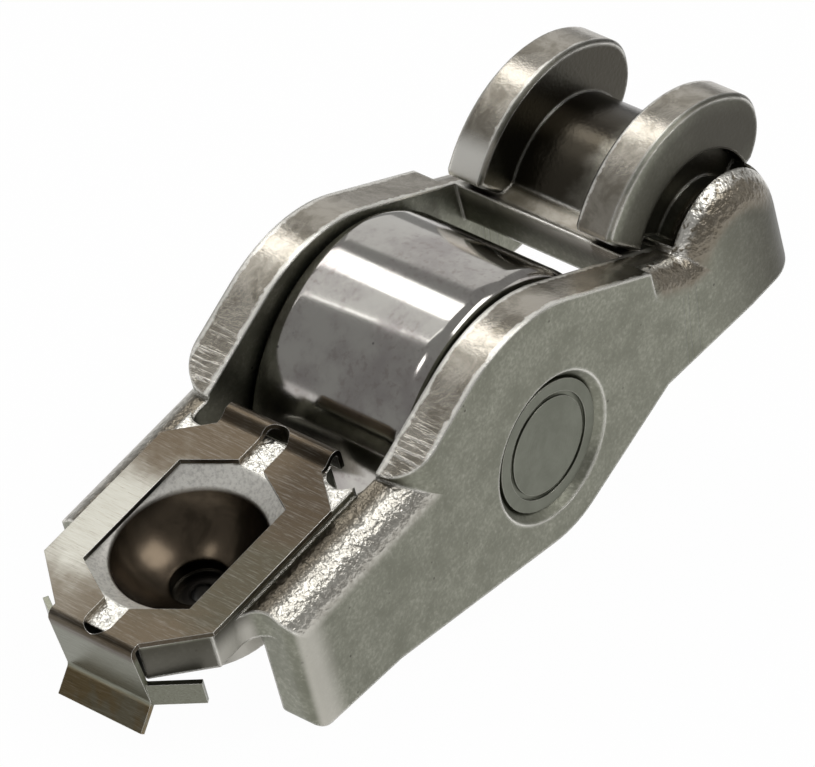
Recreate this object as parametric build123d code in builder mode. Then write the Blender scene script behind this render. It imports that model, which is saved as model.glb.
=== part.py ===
from build123d import *

import os
from math import asin, atan2, cos, degrees, floor, hypot, pi, radians, sin, sqrt, tan

os.makedirs("parts", exist_ok=True)

# Roller rocker arm: a folded steel lever with a ball socket at one end, a valve pad between two
# guide ears at the other, and a roller on needles between them. A spring clip sits over the socket.
#
# Everything is modelled in the lever's own frame, in millimetres: the axle's centre is the origin,
# +X points to the valve pad and +Z to the side with the socket, the pad and the ears.
# At the end the whole is laid down as it rests on a table, on its roller and its two legs.

# Lever, overall
BODY_WIDTH = 15.5
SHEET = 2.3
SOCKET_REACH = 17.65
WEB_TOP = 6.2
COIN_STEP = 0.5
SHOULDER_RADIUS = 2.1
CHANNEL_CORNER = 1.0

# Legs and the lower edge of the side walls
LEG_REACH = 19.2
LEG_DEPTH = 2.35
LEG_CORNER = 0.7
LEG_FRONT = 0.9
KNEE = (-13.0, -2.95)
AXLE_BULGE = 5.8
LEFT_SLOPE = 13.0
RIGHT_SLOPE = 16.7
WAIST = (8.6, -3.4)
HEEL_DEPTH = 3.9

# Humps of the side walls beside the roller
HUMP_FRONT = -9.6
HUMP_FRONT_TOP = 5.95
HUMP_APEX = (-0.3, 9.77)
HUMP_RADIUS = 8.7
HUMP_ROUND = 2.2
HUMP_BURIED = -6.5
SADDLE = (-3.4, 2.48)

# Window for the roller
WINDOW_FRONT = -10.4
WINDOW_CLEARANCE = 0.75
RELIEF_RADIUS = 1.05
RELIEF_INSET = 1.05

# Nose in front of the socket, under the clip
NOSE_REACH = 24.4
NOSE_INSET = 2.45
NOSE_FRONT_HALF = 2.6
NOSE_CORNER_START = 22.0
NOSE_ROOT_RADIUS = 1.3

# Ball socket
BALL_RADIUS = 4.45
BALL_RISE = 0.97
CUP_RADIUS = 5.1
CUP_BASE_RADIUS = 4.2
CUP_BASE = 0.75
CUP_ROOT = 0.5
CUP_CHAMFER = 0.7
MOUTH_RADIUS = 5.05
MOUTH_DEPTH = 0.75
OIL_HOLE = 3.1
OIL_DRILLING = 1.2
OIL_STEP = 2.2

# Valve pad, guide ears and the shoulders beside them. Points of an ear are given by an angle round
# the pad, and by a distance inside the ear's outer arc or a height above its crease.
PAD_CLEARANCE = 6.05
PAD_RISE = 0.5
PAD_RADIUS = 4.75
STRIP_TOP = 3.5
EAR_GAP = 6.12
EAR_THICKNESS = 2.28
EAR_RADIUS = 7.5
EAR_FRONT_ANGLE = 142.0
EAR_REAR_ANGLE = 45.0
EAR_FOOT_ANGLE = 143.5453
EAR_FOOT_INSIDE = 0.5998
EAR_TIP_ANGLE = 30.3432
EAR_TIP_INSIDE = 0.3738
EAR_ROOT_ANGLE = 148.8407
EAR_ROOT_HEIGHT = 0.4249
EAR_HEEL_ANGLE = 12.6422
EAR_HEEL_HEIGHT = 0.8829
EAR_BURIED = 0.15
EAR_EDGE = 0.3
EAR_CHAMFER = 0.2
SHOULDER_OFFSET = (0.5, -0.7)
HEEL_RADIUS = 4.4
HEEL_ROUND = 2.4
FOLD_START = (9.2, 4.03)
FOLD_ROUND = 1.8
EAR_UNDERCUT = 0.74
HOLLOW_WALL = 1.0
VALLEY_FLOOR = 3.1
VALLEY_MARGIN = 0.26
RIDGE_INSET = 1.15
VALLEY_REAR_ANGLE = 25.0
VALLEY_ANGLE = 115.0

# Axle, needles and roller
AXLE_DIAMETER = 7.2
AXLE_RECESS = 0.3
STAKE_DIAMETER = 8.3
STAKE_RING = 2.8
STAKE_RING_WIDTH = 0.25
STAKE_RING_DEPTH = 0.15
NEEDLE_DIAMETER = 1.5
NEEDLE_SPACING = 0.05
NEEDLE_SHORTER = 0.6
RUNNING_CLEARANCE = 0.02
ROLLER_DIAMETER = 17.9
ROLLER_SIDE_CLEARANCE = 0.35
ROLLER_CHAMFER = 0.55
BORE_CHAMFER = 0.3

# Spring clip over the socket
CLIP_SHEET = 0.3
CLIP_OVERHANG = 0.2
CLIP_REAR = -12.9
CLIP_TONGUE = -11.1
CLIP_TONGUE_HALF = 3.4
CLIP_CURL_START = -10.8
CLIP_CURL_CREST = -10.3
CLIP_CURL_RISE = 0.35
CLIP_LIP = -9.6
CLIP_LIP_DROP = 1.0
CLIP_BEND = 0.45
CLIP_BEND_START = 24.4
CLIP_FRONT = 25.1
CLIP_FRONT_HALF = 2.7
CLIP_DRAW_IN = 0.35
CLIP_WAIST_Z = 2.5
CLIP_FLARE = 1.15
CLIP_FLARE_DROP = 1.1
CLIP_TAB_FOOT = 2.4
CLIP_NEAR_TAB_TOP = 3.8
CLIP_FAR_TAB_TOP = 4.5
CLIP_TAB_BACK = 1.5
CLIP_TAB_SIDE = 2.4
CLIP_TAB_BEND = 0.4
CLIP_OPENING_REAR = -13.95
CLIP_OPENING_FRONT = -21.4
CLIP_OPENING_HALF = 3.45
CLIP_OPENING_END = 1.45
CLIP_OPENING_MIDDLE = -17.65
CLIP_SLOT_WIDTH = 1.6
CLIP_SLOT_REAR = -9.85
CLIP_SLOT_FRONT = -24.95
CLIP_SLOT_REACH = 0.9

half = BODY_WIDTH / 2
inner = half - SHEET
web_bottom = WEB_TOP - SHEET
shoulder_top = WEB_TOP - COIN_STEP
leg_slope = atan2(-KNEE[1] - LEG_DEPTH, KNEE[0] + LEG_REACH)
toe_x = LEG_REACH - LEG_CORNER
toe_z = LEG_DEPTH + LEG_CORNER * (tan(leg_slope) - 1 / cos(leg_slope))
nose_side = half - NOSE_INSET
clip_half = nose_side + CLIP_OVERHANG
window_rear = ROLLER_DIAMETER / 2 + WINDOW_CLEARANCE
pad_reach = ROLLER_DIAMETER / 2 + PAD_CLEARANCE
heel_x = pad_reach + SHOULDER_OFFSET[0]
heel_z = PAD_RISE + SHOULDER_OFFSET[1]
saddle = (heel_x + SADDLE[0], heel_z + SADDLE[1])
heel_axis = Axis((heel_x, 0, heel_z), (0, 1, 0))
rear_wall = heel_x + HEEL_RADIUS - SHEET
fold_slope = (WAIST[1] + HEEL_DEPTH) / (heel_x - WAIST[0])
fold_bottom = WAIST[1] - fold_slope * (FOLD_START[0] - WAIST[0])
fold_end = heel_z + HEEL_RADIUS - HEEL_ROUND
ear_inner = EAR_GAP / 2
ear_outer = ear_inner + EAR_THICKNESS
ear_crease = PAD_RADIUS - EAR_BURIED
pad_half = ear_outer - EAR_UNDERCUT
valley_foot = ear_outer + VALLEY_MARGIN
valley_ridge = half - RIDGE_INSET
ball_centre = WEB_TOP + BALL_RISE
cup_edge = sqrt(BALL_RADIUS**2 - (BALL_RISE + MOUTH_DEPTH) ** 2)
stake_depth = (STAKE_DIAMETER - AXLE_DIAMETER) / 2
clip_top = WEB_TOP + CLIP_SHEET
needle_pitch = AXLE_DIAMETER / 2 + RUNNING_CLEARANCE + NEEDLE_DIAMETER / 2
needle_count = floor(pi / asin((NEEDLE_DIAMETER + NEEDLE_SPACING) / 2 / needle_pitch))
roller_bore = needle_pitch + NEEDLE_DIAMETER / 2 + RUNNING_CLEARANCE
roller_width = 2 * (inner - ROLLER_SIDE_CLEARANCE)
below = -12.0


def lower_tangent(slope):
    """Point where the lower edge, rising at this slope in degrees, leaves the bulge round the axle."""
    return (AXLE_BULGE * sin(radians(slope)), -AXLE_BULGE * cos(radians(slope)))


def on_ear(angle, radius=EAR_RADIUS):
    """Point of the side view on a circle round the pad's centre."""
    return (pad_reach + radius * cos(radians(angle)), PAD_RISE + radius * sin(radians(angle)))


# Guide ears: two curved horns, drawn once and set one each side of the pad.
ear_foot = on_ear(EAR_FOOT_ANGLE, EAR_RADIUS - EAR_FOOT_INSIDE)
ear_tip = on_ear(EAR_TIP_ANGLE, EAR_RADIUS - EAR_TIP_INSIDE)
ear_root = on_ear(EAR_ROOT_ANGLE, ear_crease + EAR_ROOT_HEIGHT)
ear_heel = on_ear(EAR_HEEL_ANGLE, ear_crease + EAR_HEEL_HEIGHT)
with BuildPart() as ears:
    with BuildSketch(Plane.XZ.offset(-ear_outer), Plane.XZ.offset(ear_inner)) as ear_side:
        with BuildLine():
            ThreePointArc(on_ear(EAR_FRONT_ANGLE), on_ear(90), on_ear(EAR_REAR_ANGLE))
            ThreePointArc(on_ear(EAR_REAR_ANGLE), ear_tip, ear_heel)
            Polyline(ear_heel, (pad_reach, PAD_RISE), ear_root, ear_foot, on_ear(EAR_FRONT_ANGLE))
        make_face()
        fillet(ear_side.vertices().group_by(Axis.X)[0], EAR_EDGE)
    extrude(amount=EAR_THICKNESS)
    rims = ears.edges().filter_by(lambda rim: rim.center().Z > ear_foot[1]).filter_by(Axis.Y, reverse=True)
    chamfer(rims, EAR_CHAMFER)
    with Locations(Location((pad_reach, 0, PAD_RISE), (90, 0, 0))):
        Cylinder(ear_crease, BODY_WIDTH, mode=Mode.SUBTRACT)

# Side walls beside the roller, drawn as one side view: a hump above the roller and a bulge round
# the axle below. The fronts of the humps are rounded off where they rise from the shoulders.
with BuildPart() as walls:
    left = lower_tangent(-LEFT_SLOPE)
    right = lower_tangent(RIGHT_SLOPE)
    with BuildSketch(Plane.XZ) as wall_side:
        with BuildLine():
            RadiusArc(left, right, -AXLE_BULGE)
            Polyline(right, WAIST, (FOLD_START[0], fold_bottom), FOLD_START, HUMP_APEX,
                     (HUMP_FRONT, HUMP_FRONT_TOP), (HUMP_FRONT, KNEE[1]), KNEE, left)
        make_face()
        fillet(wall_side.vertices().sort_by(Axis.Y)[-1], HUMP_RADIUS)
    extrude(amount=half, both=True)
    fillet(walls.edges().filter_by(Axis.Z).group_by(Axis.X)[0], HUMP_ROUND)

# Folds where the walls turn over into the shoulders, with rounded outer edges.
with BuildPart() as folds:
    with BuildSketch(Plane.XZ):
        with BuildLine():
            Polyline(FOLD_START, saddle, (heel_x, fold_end), (heel_x, -HEEL_DEPTH),
                     (FOLD_START[0], fold_bottom), FOLD_START)
        make_face()
    extrude(amount=half, both=True)
    crests = folds.edges().filter_by(lambda edge: edge.center().Z > heel_z).filter_by(Axis.Y, reverse=True)
    fillet(crests.filter_by(Axis.Z, reverse=True), FOLD_ROUND)

with BuildPart() as lever_body:
    # Socket end: the lever is folded down along both long edges, with rounded shoulders.
    with BuildSketch(Plane.XZ) as leg_side:
        with BuildLine():
            Polyline(
                (-LEG_REACH, -LEG_DEPTH), (-LEG_REACH, shoulder_top), (HUMP_BURIED, shoulder_top),
                (HUMP_BURIED, KNEE[1]), KNEE, (-LEG_REACH, -LEG_DEPTH),
            )
        make_face()
        fillet(leg_side.vertices().group_by(Axis.X)[0].sort_by(Axis.Y)[0], LEG_CORNER)
    extrude(amount=half, both=True)
    fillet(lever_body.edges().filter_by(Axis.X).group_by(Axis.Z)[-1], SHOULDER_RADIUS)
    with BuildSketch(Plane.XY.offset(KNEE[1])) as leg_plan:
        with Locations((-LEG_REACH, 0)):
            Rectangle(LEG_REACH + HUMP_BURIED, BODY_WIDTH, align=(Align.MIN, Align.CENTER))
        fillet(leg_plan.vertices().group_by(Axis.X)[0], LEG_FRONT)
    extrude(amount=shoulder_top - KNEE[1], mode=Mode.INTERSECT)

    # Nose and coined seat of the clip, one flat with eight corners.
    with BuildSketch(Plane.XY.offset(web_bottom)):
        with BuildLine():
            Polyline(
                (WINDOW_FRONT, -nose_side), (-NOSE_CORNER_START, -nose_side),
                (-NOSE_REACH, -NOSE_FRONT_HALF), (-NOSE_REACH, NOSE_FRONT_HALF),
                (-NOSE_CORNER_START, nose_side), (WINDOW_FRONT, nose_side), (WINDOW_FRONT, -nose_side),
            )
        make_face()
    extrude(amount=SHEET)
    root = lever_body.edges().filter_by(Axis.Z)
    root = root.filter_by_position(Axis.X, -LEG_REACH - 0.01, -LEG_REACH + 0.01)
    root = root.filter_by_position(Axis.Y, -nose_side - 0.01, nose_side + 0.01)
    fillet(root, NOSE_ROOT_RADIUS)

    # Side walls beside the roller, and their folds.
    add(walls.part)
    add(folds.part)

    # Rear end: a rounded plan drawn once, carried down as the wall and swung over as the shoulders.
    with BuildSketch(Plane.XY.offset(heel_z)) as heel_plan:
        with Locations((heel_x, 0)):
            Rectangle(HEEL_RADIUS, BODY_WIDTH, align=(Align.MIN, Align.CENTER))
        fillet(heel_plan.vertices().group_by(Axis.X)[-1], HEEL_ROUND)
    extrude(amount=-(heel_z + HEEL_DEPTH))
    revolve(heel_plan.sketch, axis=heel_axis, revolution_arc=-180)

    # Channel between the walls, open below, under the web at both ends.
    with BuildSketch(Plane.YZ.offset(-NOSE_REACH - 1)) as channel:
        with Locations((0, web_bottom)):
            Rectangle(2 * inner, web_bottom - below, align=(Align.CENTER, Align.MAX))
        fillet(channel.vertices().group_by(Axis.Y)[-1], CHANNEL_CORNER)
    extrude(amount=NOSE_REACH + 1 + WINDOW_FRONT, mode=Mode.SUBTRACT)

    # Ball socket: a cup pressed out below the web, with an eased mouth and a stepped oil hole.
    with BuildSketch(Plane.XZ) as cup_half:
        with BuildLine():
            Polyline(
                (-SOCKET_REACH, CUP_BASE), (CUP_BASE_RADIUS - SOCKET_REACH, CUP_BASE),
                (CUP_RADIUS - SOCKET_REACH, web_bottom), (CUP_RADIUS - SOCKET_REACH, web_bottom + CUP_ROOT),
                (-SOCKET_REACH, web_bottom + CUP_ROOT), (-SOCKET_REACH, CUP_BASE),
            )
        make_face()
        chamfer(cup_half.vertices().group_by(Axis.Y)[0].sort_by(Axis.X)[-1], CUP_CHAMFER)
    revolve(axis=Axis((-SOCKET_REACH, 0, 0), (0, 0, 1)))
    with Locations((-SOCKET_REACH, 0, ball_centre)):
        Sphere(BALL_RADIUS, mode=Mode.SUBTRACT)
    with Locations((-SOCKET_REACH, 0, WEB_TOP)):
        Cone(cup_edge, MOUTH_RADIUS, MOUTH_DEPTH, align=(Align.CENTER, Align.CENTER, Align.MAX),
             mode=Mode.SUBTRACT)
        Hole(OIL_HOLE / 2, depth=WEB_TOP - OIL_STEP)
        Hole(OIL_DRILLING / 2, depth=WEB_TOP - CUP_BASE + 1)

    # Window for the roller, right through the web, with a relief at each front corner.
    with BuildSketch(Plane.XY.offset(below)):
        with Locations(((WINDOW_FRONT + window_rear) / 2, 0)):
            Rectangle(window_rear - WINDOW_FRONT, 2 * inner)
        with Locations((WINDOW_FRONT, RELIEF_INSET - inner), (WINDOW_FRONT, inner - RELIEF_INSET)):
            Circle(RELIEF_RADIUS)
    extrude(amount=30, mode=Mode.SUBTRACT)

    # Valve end: flat strip, rounded pad and the hollow under them.
    with BuildSketch(Plane.XZ):
        with Locations(((window_rear + pad_reach) / 2, STRIP_TOP)):
            Rectangle(pad_reach - window_rear, SHEET, align=(Align.CENTER, Align.MAX))
        with Locations((pad_reach, PAD_RISE)):
            Circle(PAD_RADIUS)
    extrude(amount=pad_half, both=True)
    with BuildSketch(Plane.XZ):
        with Locations((window_rear, STRIP_TOP - SHEET)):
            Rectangle(rear_wall - window_rear, STRIP_TOP - SHEET - below, align=(Align.MIN, Align.MAX))
    extrude(amount=inner, both=True, mode=Mode.SUBTRACT)
    with BuildSketch(Plane.XZ):
        with Locations((pad_reach, PAD_RISE)):
            Circle(PAD_RADIUS - SHEET)
    extrude(amount=pad_half - HOLLOW_WALL, both=True, mode=Mode.SUBTRACT)

    # Valleys between the ears and the shoulders, undercut below the ears.
    with BuildSketch(Plane.XY.offset(heel_z)) as valley:
        floor_x, top_x = heel_x + VALLEY_FLOOR, heel_x + HEEL_RADIUS + 2
        with BuildLine():
            Polyline((floor_x, pad_half), (floor_x, valley_foot), (heel_x + HEEL_RADIUS, valley_ridge),
                     (top_x, valley_ridge), (top_x, pad_half), (floor_x, pad_half))
        make_face()
        mirror(about=Plane.XZ)
    revolve(valley.sketch.rotate(heel_axis, -VALLEY_REAR_ANGLE), axis=heel_axis, revolution_arc=-VALLEY_ANGLE,
            mode=Mode.SUBTRACT)

    # Guide ears, one each side of the pad.
    add(ears.part)

    # Axle holes, countersunk on the outside.
    with Locations(Plane.XZ):
        Cylinder(AXLE_DIAMETER / 2, BODY_WIDTH + 1, mode=Mode.SUBTRACT)
    for side in (-1, 1):
        with Locations(Location((0, side * half, 0), (90 * side, 0, 0))):
            Cone(STAKE_DIAMETER / 2, AXLE_DIAMETER / 2, stake_depth,
                 align=(Align.CENTER, Align.CENTER, Align.MIN), mode=Mode.SUBTRACT)

# Axle: a plain pin, its ends set into the countersinks and staked with a ring.
with BuildPart() as axle_pin:
    with BuildSketch(Plane.XZ):
        Circle(AXLE_DIAMETER / 2)
    extrude(amount=half - AXLE_RECESS, both=True)
    with BuildSketch(Plane.XZ.offset(half - AXLE_RECESS - STAKE_RING_DEPTH),
                     Plane.XZ.offset(AXLE_RECESS - half)):
        Circle(STAKE_RING + STAKE_RING_WIDTH / 2)
        Circle(STAKE_RING - STAKE_RING_WIDTH / 2, mode=Mode.SUBTRACT)
    extrude(amount=STAKE_RING_DEPTH, mode=Mode.SUBTRACT)

# Roller: a thick ring with eased rims.
with BuildPart() as roller:
    with BuildSketch(Plane.XZ):
        Circle(ROLLER_DIAMETER / 2)
        Circle(roller_bore, mode=Mode.SUBTRACT)
    extrude(amount=roller_width / 2, both=True)
    rims = roller.edges().filter_by(GeomType.CIRCLE).group_by(lambda rim: round(rim.radius, 3))
    chamfer(rims[-1], ROLLER_CHAMFER)
    chamfer(rims[0], BORE_CHAMFER)

# Needles: a full set between the axle and the roller.
needles = []
for index in range(needle_count):
    turn = 2 * pi * index / needle_count
    with BuildPart() as needle:
        with BuildSketch(Plane.XZ):
            with Locations((needle_pitch * cos(turn), needle_pitch * sin(turn))):
                Circle(NEEDLE_DIAMETER / 2)
        extrude(amount=roller_width / 2 - NEEDLE_SHORTER, both=True)
    needle.part.label = f"needle_{index + 1:02d}"
    needles.append(needle.part)

# Clip: one piece of spring sheet. A flat ring lies on the seat round the cup, with a slot at each
# end. Its rear tongue curls over the edge of the window, and its front is folded down over the nose.
with BuildPart() as retaining_clip:
    with BuildSketch(Plane.XY.offset(WEB_TOP)):
        with BuildLine():
            rear_half = Polyline(
                (CLIP_CURL_START, 0), (CLIP_CURL_START, CLIP_TONGUE_HALF), (CLIP_TONGUE, CLIP_TONGUE_HALF),
                (CLIP_REAR, clip_half), (-NOSE_CORNER_START, clip_half),
                (-CLIP_BEND_START, CLIP_FRONT_HALF), (-CLIP_BEND_START, 0),
            )
            mirror(rear_half, about=Plane.XZ)
        make_face()
    extrude(amount=CLIP_SHEET)

    # Rear tongue, curled up and over.
    with BuildSketch(Plane.XZ):
        with BuildLine():
            FilletPolyline((CLIP_TONGUE, clip_top), (CLIP_CURL_START, clip_top),
                           (CLIP_CURL_CREST, clip_top + CLIP_CURL_RISE),
                           (CLIP_LIP, clip_top + CLIP_CURL_RISE), (CLIP_LIP, clip_top - CLIP_LIP_DROP),
                           radius=CLIP_BEND)
            offset(amount=CLIP_SHEET, side=Side.RIGHT)
        make_face()
    extrude(amount=CLIP_TONGUE_HALF, both=True)

    # Front, folded down the nose, drawn in at the waist and flared out at the lip.
    with BuildSketch(Plane.XZ):
        with BuildLine():
            FilletPolyline((-CLIP_BEND_START, clip_top), (-CLIP_FRONT, clip_top),
                           (-CLIP_FRONT + CLIP_DRAW_IN, CLIP_WAIST_Z),
                           (-CLIP_FRONT + CLIP_DRAW_IN - CLIP_FLARE, CLIP_WAIST_Z - CLIP_FLARE_DROP),
                           radius=CLIP_BEND)
            offset(amount=CLIP_SHEET, side=Side.LEFT)
        make_face()
    extrude(amount=CLIP_FRONT_HALF, both=True)

    # Side tabs, folded back from the waist under the corners of the nose. One is taller.
    waist_x = -CLIP_FRONT + CLIP_DRAW_IN
    for side, tab_top in ((-1, CLIP_NEAR_TAB_TOP), (1, CLIP_FAR_TAB_TOP)):
        with BuildSketch(Plane.XY.offset(CLIP_TAB_FOOT)):
            with BuildLine():
                FilletPolyline(
                    (waist_x, side * (CLIP_FRONT_HALF - CLIP_BEND)), (waist_x, side * CLIP_FRONT_HALF),
                    (waist_x + CLIP_TAB_BACK, side * (CLIP_FRONT_HALF + CLIP_TAB_SIDE)),
                    radius=CLIP_TAB_BEND,
                )
                offset(amount=CLIP_SHEET, side=Side.RIGHT if side > 0 else Side.LEFT)
            make_face()
        extrude(amount=tab_top - CLIP_TAB_FOOT)

    # Opening round the cup, and the slots at its two ends.
    with BuildSketch(Plane.XY.offset(WEB_TOP - CLIP_SLOT_REACH)):
        with BuildLine():
            opening_half = Polyline(
                (CLIP_OPENING_REAR + CLIP_OPENING_END, 0),
                (CLIP_OPENING_REAR + CLIP_OPENING_END, CLIP_SLOT_WIDTH / 2),
                (CLIP_OPENING_REAR, CLIP_OPENING_HALF), (CLIP_OPENING_FRONT, CLIP_OPENING_HALF),
                (CLIP_OPENING_FRONT - CLIP_OPENING_END, CLIP_SLOT_WIDTH / 2),
                (CLIP_OPENING_FRONT - CLIP_OPENING_END, 0),
            )
            mirror(opening_half, about=Plane.XZ)
        make_face()
        for end in (CLIP_SLOT_REAR, CLIP_SLOT_FRONT):
            centre = (end + CLIP_OPENING_MIDDLE) / 2
            with Locations((centre, 0)):
                SlotOverall(abs(end - CLIP_OPENING_MIDDLE), CLIP_SLOT_WIDTH)
    extrude(amount=2 * CLIP_SLOT_REACH, mode=Mode.SUBTRACT)

lever_body.part.label = "lever_body"
axle_pin.part.label = "axle_pin"
roller.part.label = "roller"
retaining_clip.part.label = "retaining_clip"

# Laid down: the roller and both legs touch the table, and the frame's origin comes under the middle.
pieces = [lever_body.part, retaining_clip.part, axle_pin.part, roller.part, *needles]
tilt = asin((ROLLER_DIAMETER / 2 - LEG_CORNER) / hypot(toe_x, toe_z)) - atan2(toe_z, toe_x)
laid = Location((0, 0, ROLLER_DIAMETER / 2), (0, -degrees(tilt), 0))
outer = Compound(children=[piece.moved(laid) for piece in pieces]).bounding_box()
centred = Location((-outer.center().X, 0, -outer.min.Z)) * laid
for piece in pieces:
    export_step(piece.moved(centred), f"parts/{piece.label}.step")
print("tilt", round(degrees(tilt), 3), "axle at", centred.position, "box", outer.size)
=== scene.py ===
import logging
from dataclasses import dataclass, field
from enum import Enum
from math import cos, pi, radians, sin

import bpy
import numpy as np
from mathutils import Matrix, Vector
from numpy.typing import NDArray


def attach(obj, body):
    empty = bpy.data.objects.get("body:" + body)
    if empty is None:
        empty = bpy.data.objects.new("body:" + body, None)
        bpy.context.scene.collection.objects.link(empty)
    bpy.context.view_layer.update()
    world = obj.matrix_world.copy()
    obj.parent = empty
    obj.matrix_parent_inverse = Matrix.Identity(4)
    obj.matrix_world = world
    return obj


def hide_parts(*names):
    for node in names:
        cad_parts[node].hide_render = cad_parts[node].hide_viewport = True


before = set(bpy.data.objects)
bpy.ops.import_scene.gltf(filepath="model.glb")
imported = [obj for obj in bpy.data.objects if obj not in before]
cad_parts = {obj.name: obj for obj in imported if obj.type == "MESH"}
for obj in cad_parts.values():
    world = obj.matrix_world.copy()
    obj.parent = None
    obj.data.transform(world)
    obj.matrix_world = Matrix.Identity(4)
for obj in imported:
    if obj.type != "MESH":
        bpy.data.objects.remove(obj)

# Looks of a roller rocker arm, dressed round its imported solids.
#
# Lengths of the pieces are in millimetres in the lever's own frame: the axle's centre is the origin,
# +X points to the valve pad and +Z to the side with the socket. LeverFrame carries them to the row
# frame, in metres, where the lever lies tipped on its roller and its two legs.

log = logging.getLogger("rocker_arm")
Array = NDArray[np.float64]
Colour = tuple[float, float, float]
Triple = tuple[float, float, float]
Pair = tuple[float, float]
MM = 0.001


class Body(Enum):
    """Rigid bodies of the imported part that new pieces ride."""

    ROLLER = "roller"


class Slot(Enum):
    """Material slots of the record."""

    LEVER = "lever_steel"
    CLIP = "clip_steel"
    AXLE = "axle_steel"
    ROLLER = "roller_steel"
    NEEDLE = "needle_steel"


@dataclass(frozen=True)
class LeverFrame:
    """Place of the lever's own frame in the row frame."""

    tilt: float = 21.067
    axle_x: float = 2.8085
    axle_z: float = 8.95

    def to_row(self, points: Array) -> Array:
        """Turns points of the lever's frame by the tilt and moves them to the axle.

        Args:
            points: Array whose last axis is x, y, z in millimetres.

        Returns:
            The same points in the row frame, in metres.
        """
        turn = radians(self.tilt)
        x, y, z = points[..., 0], points[..., 1], points[..., 2]
        row = np.stack([cos(turn) * x - sin(turn) * z + self.axle_x, y,
                        sin(turn) * x + cos(turn) * z + self.axle_z], axis=-1)
        return row * MM

    @property
    def axle(self) -> Vector:
        """Centre of the axle in the row frame, in millimetres."""
        return Vector((self.axle_x, 0.0, self.axle_z))


LEVER = LeverFrame()


def surface(name: str, grid: Array, wrap_rows: bool = False, wrap_columns: bool = False) -> bpy.types.Object:
    """Makes a mesh of quads from a grid of points.

    Args:
        name: Name of the object and its mesh.
        grid: Points in metres, rows by columns by 3.
        wrap_rows: Whether the last row joins the first.
        wrap_columns: Whether the last column joins the first.

    Returns:
        The new object, at the origin, with smooth faces.
    """
    rows, columns = grid.shape[:2]
    index = np.arange(rows * columns).reshape(rows, columns)
    if wrap_rows:
        index = np.vstack([index, index[:1]])
    if wrap_columns:
        index = np.hstack([index, index[:, :1]])
    quads = np.stack([index[:-1, :-1], index[:-1, 1:], index[1:, 1:], index[1:, :-1]], axis=-1).reshape(-1, 4)
    mesh = bpy.data.meshes.new(name)
    mesh.from_pydata(grid.reshape(-1, 3).tolist(), [], quads.tolist())
    mesh.polygons.foreach_set("use_smooth", np.ones(len(mesh.polygons), dtype=bool))
    mesh.update()
    made = bpy.data.objects.new(name, mesh)
    bpy.context.scene.collection.objects.link(made)
    return made


def rounded_outline(corners: Array, cuts: Array, steps: int) -> Array:
    """Closed outline with each corner rounded by an arc.

    Both sides of a corner are cut back by its length, and the arc from one cut to the other is a
    quadratic blend of cut, corner and cut, which is close to a circle at these sizes.

    Args:
        corners: Corner points, n by 2.
        cuts: Length cut from both sides of each corner, n values.
        steps: Points on each arc.

    Returns:
        Outline points, n times steps by 2.
    """
    before = np.roll(corners, 1, axis=0) - corners
    after = np.roll(corners, -1, axis=0) - corners
    before /= np.linalg.norm(before, axis=1, keepdims=True)
    after /= np.linalg.norm(after, axis=1, keepdims=True)
    start = corners + before * cuts[:, None]
    end = corners + after * cuts[:, None]
    t = np.linspace(0, 1, steps)[None, :, None]
    arc = (1 - t) ** 2 * start[:, None] + 2 * t * (1 - t) * corners[:, None] + t**2 * end[:, None]
    return arc.reshape(-1, 2)


Socket = bpy.types.NodeSocket
Value = Socket | float | tuple


@dataclass(frozen=True)
class Noise:
    """A cloudy noise: features for each millimetre, finer layers, their strength, and its stirring."""

    scale: float
    detail: float
    roughness: float
    distortion: float = 0.0


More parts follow.
